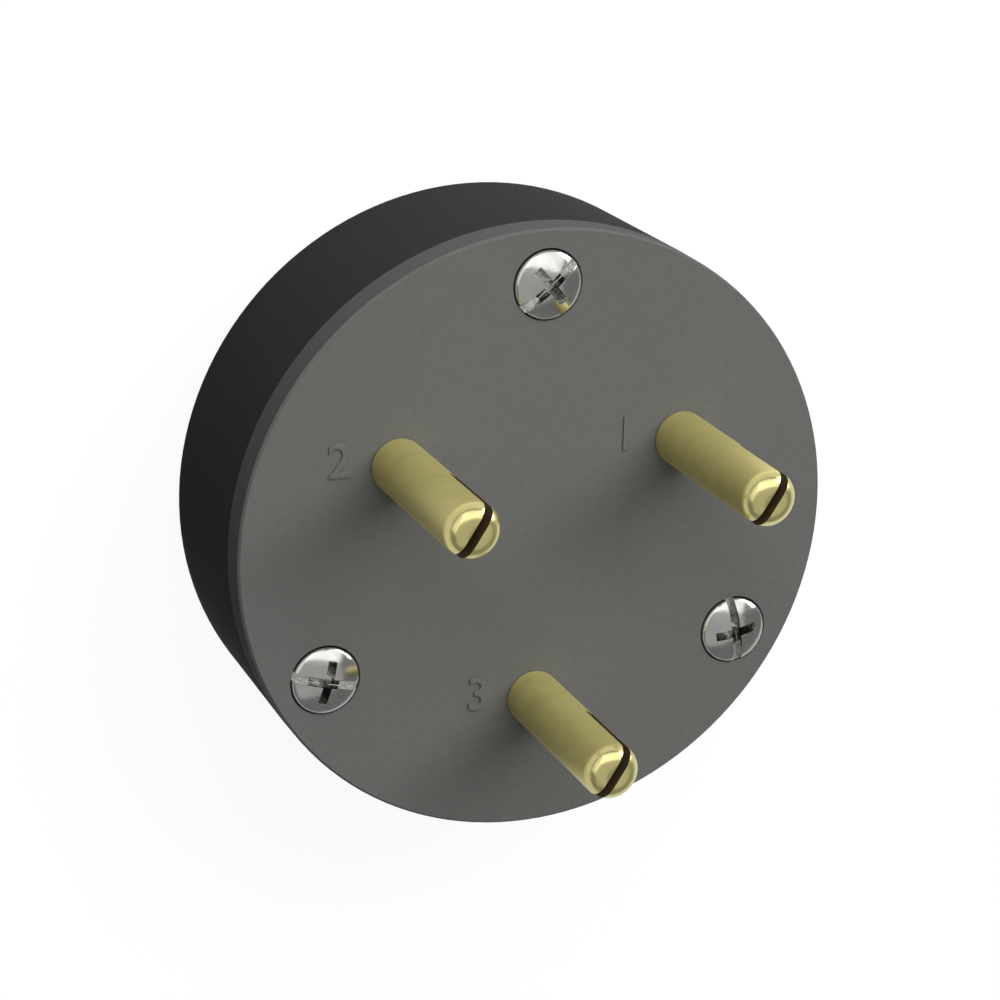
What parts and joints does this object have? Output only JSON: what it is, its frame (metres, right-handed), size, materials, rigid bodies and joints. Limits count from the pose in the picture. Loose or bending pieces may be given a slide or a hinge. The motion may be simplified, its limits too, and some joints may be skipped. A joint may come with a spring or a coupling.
{
  "type": "industrial plug",
  "caption": "Round two-tone industrial plug with split brass pins standing out of a flat grey face, a black cup behind it and a cord inlet in the flat back.",
  "frame": {"origin": "centre of the flat back", "axes": "+Z along the plug's axis from the back to the pins, +Y towards the first cover screw, +X to the right seen from the pins"},
  "size_m": [0.056, 0.056, 0.0375],
  "materials": {
    "front_disc": "smooth satin grey moulding",
    "rear_cover": "smooth satin black moulding",
    "inlet_grommet": "soft black rubber",
    "cord_clamp": "black moulding",
    "pin_brass": "turned brass, lightly polished",
    "washer_brass": "stamped brass",
    "nut_brass": "turned brass",
    "screw_plating": "bright nickel plated steel",
    "clamp_screw_steel": "zinc plated steel"
  },
  "bodies": {
    "root": {"clamp_screw_1": "clamp_screw_steel", "clamp_screw_2": "clamp_screw_steel", "cord_clamp": "cord_clamp", "cover_screw_1": "screw_plating", "cover_screw_2": "screw_plating", "cover_screw_3": "screw_plating", "fixing_nut_1": "nut_brass", "fixing_nut_2": "nut_brass", "fixing_nut_3": "nut_brass", "front_disc": "front_disc", "inlet_grommet": "inlet_grommet", "pin_1": "pin_brass", "pin_2": "pin_brass", "pin_3": "pin_brass", "rear_cover": "rear_cover", "screw_insert_1": "nut_brass", "screw_insert_2": "nut_brass", "screw_insert_3": "nut_brass", "seat_washer_1": "washer_brass", "seat_washer_2": "washer_brass", "seat_washer_3": "washer_brass", "terminal_nut_1": "nut_brass", "terminal_nut_2": "nut_brass", "terminal_nut_3": "nut_brass", "terminal_washer_1": "washer_brass", "terminal_washer_2": "washer_brass", "terminal_washer_3": "washer_brass"}
  },
  "joints": []
}
